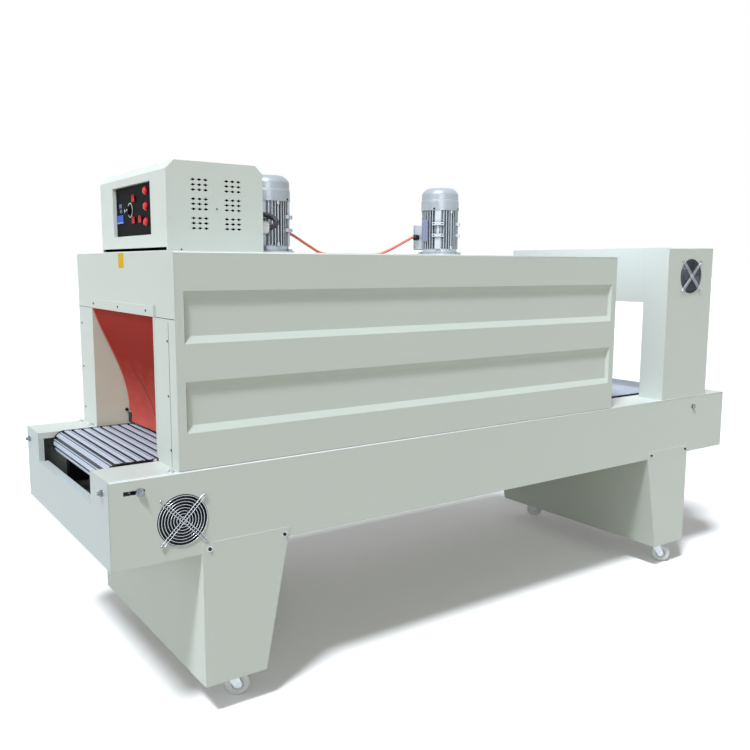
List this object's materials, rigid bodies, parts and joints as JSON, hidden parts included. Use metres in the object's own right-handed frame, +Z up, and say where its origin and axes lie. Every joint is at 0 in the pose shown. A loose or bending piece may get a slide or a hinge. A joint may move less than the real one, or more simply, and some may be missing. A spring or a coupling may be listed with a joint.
{
  "type": "heat shrink tunnel",
  "caption": "Heat shrink tunnel: mesh-belt conveyor on castered legs, insulated tunnel with red curtain, roof control box and fan motors, and a cooling arch with axial fans.",
  "frame": {"origin": "on the floor, under the middle of the machine", "axes": "+X along the belt from infeed to outfeed, +Y to the far side, +Z up"},
  "size_m": [2.785, 0.942, 1.597],
  "materials": {
    "paint": "pale grey textured powder coat",
    "zinc": "bright zinc plate",
    "nylon": "white moulded nylon",
    "belt_steel": "bright wire mesh with dark edge chains",
    "silicone": "red silicone sheet",
    "panel_black": "black control plate",
    "lamp_red": "red lens",
    "knob_red": "red moulded knob",
    "knob_black": "black moulded knob",
    "alloy": "silver-painted cast aluminium",
    "silver_paint": "silver paint on pressed steel",
    "gland_black": "black nylon",
    "gland_white": "white nylon",
    "cable_orange": "orange silicone sheath",
    "conduit_grey": "dark grey corrugated conduit",
    "guard_wire": "plated wire",
    "fan_plastic": "black glass-filled plastic"
  },
  "bodies": {
    "machine": {"bed_side_near": "paint", "bed_side_far": "paint", "bed_end_infeed": "paint", "bed_end_outfeed": "paint", "bed_floor": "paint", "leg_infeed": "paint", "leg_outfeed": "paint", "caster_plates": "zinc", "mesh_belt": "belt_steel", "belt_rollers": "zinc", "takeup_screws": "zinc", "tunnel_side_near": "paint", "tunnel_side_far": "paint", "tunnel_inner_walls": "paint", "tunnel_roof": "paint", "tunnel_end_plates": "paint", "tunnel_post_covers": "paint", "curtain_strips": "paint", "curtain_infeed": "silicone", "curtain_outfeed": "silicone", "control_hood": "paint", "control_sides": "paint", "control_panel": "panel_black", "signal_lamps": "lamp_red", "motor_infeed": "alloy", "motor_outfeed": "alloy", "motor_cowls": "silver_paint", "cable_glands": "gland_black", "conduit_gland": "gland_white", "motor_cable": "cable_orange", "conduit": "conduit_grey", "arch_post_near": "paint", "arch_post_far": "paint", "arch_beam": "paint", "fan_guards": "guard_wire", "fan_frames": "fan_plastic"},
    "fork_1": {"caster_fork_1": "zinc"},
    "wheel_1": {"caster_wheel_1": "nylon"},
    "rotor_1": {"fan_rotor_1": "fan_plastic"},
    "fork_2": {"caster_fork_2": "zinc"},
    "wheel_2": {"caster_wheel_2": "nylon"},
    "rotor_2": {"fan_rotor_2": "fan_plastic"},
    "fork_3": {"caster_fork_3": "zinc"},
    "wheel_3": {"caster_wheel_3": "nylon"},
    "rotor_3": {"fan_rotor_3": "fan_plastic"},
    "fork_4": {"caster_fork_4": "zinc"},
    "wheel_4": {"caster_wheel_4": "nylon"},
    "rotor_4": {"fan_rotor_4": "fan_plastic"},
    "selector_1": {"selector_1": "knob_red"},
    "selector_2": {"selector_2": "knob_red"},
    "selector_3": {"selector_3": "knob_red"},
    "dial": {"dial_knob": "knob_black"}
  },
  "joints": [
    {"name": "caster_swivel_1", "type": "hinge", "parent": "machine", "child": "fork_1", "pos_m": [-1.011, -0.363, 0.089], "axis": [0, 0, 1], "continuous": true},
    {"name": "wheel_roll_1", "type": "hinge", "parent": "fork_1", "child": "wheel_1", "pos_m": [-0.98562, -0.37483, 0.0375], "axis": [0.4226, 0.9063, 0], "continuous": true},
    {"name": "caster_swivel_2", "type": "hinge", "parent": "machine", "child": "fork_2", "pos_m": [1.04, -0.387, 0.089], "axis": [0, 0, 1], "continuous": true},
    {"name": "wheel_roll_2", "type": "hinge", "parent": "fork_2", "child": "wheel_2", "pos_m": [1.05606, -0.40994, 0.0375], "axis": [0.8192, 0.5736, 0], "continuous": true},
    {"name": "caster_swivel_3", "type": "hinge", "parent": "machine", "child": "fork_3", "pos_m": [-1.025, 0.387, 0.089], "axis": [0, 0, 1], "continuous": true},
    {"name": "wheel_roll_3", "type": "hinge", "parent": "fork_3", "child": "wheel_3", "pos_m": [-0.99962, 0.39883, 0.0375], "axis": [-0.4226, 0.9063, 0], "continuous": true},
    {"name": "caster_swivel_4", "type": "hinge", "parent": "machine", "child": "fork_4", "pos_m": [1.062, 0.397, 0.089], "axis": [0, 0, 1], "continuous": true},
    {"name": "wheel_roll_4", "type": "hinge", "parent": "fork_4", "child": "wheel_4", "pos_m": [1.0811, 0.37652, 0.0375], "axis": [0.7314, 0.682, 0], "continuous": true},
    {"name": "fan_spin_1", "type": "hinge", "parent": "machine", "child": "rotor_1", "pos_m": [-1.1765, -0.437, 0.603], "axis": [0, 1, 0], "continuous": true},
    {"name": "fan_spin_2", "type": "hinge", "parent": "machine", "child": "rotor_2", "pos_m": [1.109, -0.4315, 1.258], "axis": [0, 1, 0], "continuous": true},
    {"name": "fan_spin_3", "type": "hinge", "parent": "machine", "child": "rotor_3", "pos_m": [-1.1765, 0.437, 0.603], "axis": [0, 1, 0], "continuous": true},
    {"name": "fan_spin_4", "type": "hinge", "parent": "machine", "child": "rotor_4", "pos_m": [1.109, 0.4315, 1.258], "axis": [0, 1, 0], "continuous": true},
    {"name": "selector_turn_1", "type": "hinge", "parent": "machine", "child": "selector_1", "pos_m": [-1.1255, -0.003, 1.498], "axis": [1, 0, 0], "range_deg": [-45, 45]},
    {"name": "selector_turn_2", "type": "hinge", "parent": "machine", "child": "selector_2", "pos_m": [-1.1255, 0, 1.433], "axis": [1, 0, 0], "range_deg": [-45, 45]},
    {"name": "selector_turn_3", "type": "hinge", "parent": "machine", "child": "selector_3", "pos_m": [-1.1255, -0.06, 1.433], "axis": [1, 0, 0], "range_deg": [-45, 45]},
    {"name": "dial_turn", "type": "hinge", "parent": "machine", "child": "dial", "pos_m": [-1.1255, 0.042, 1.466], "axis": [1, 0, 0], "range_deg": [-135, 135]}
  ]
}
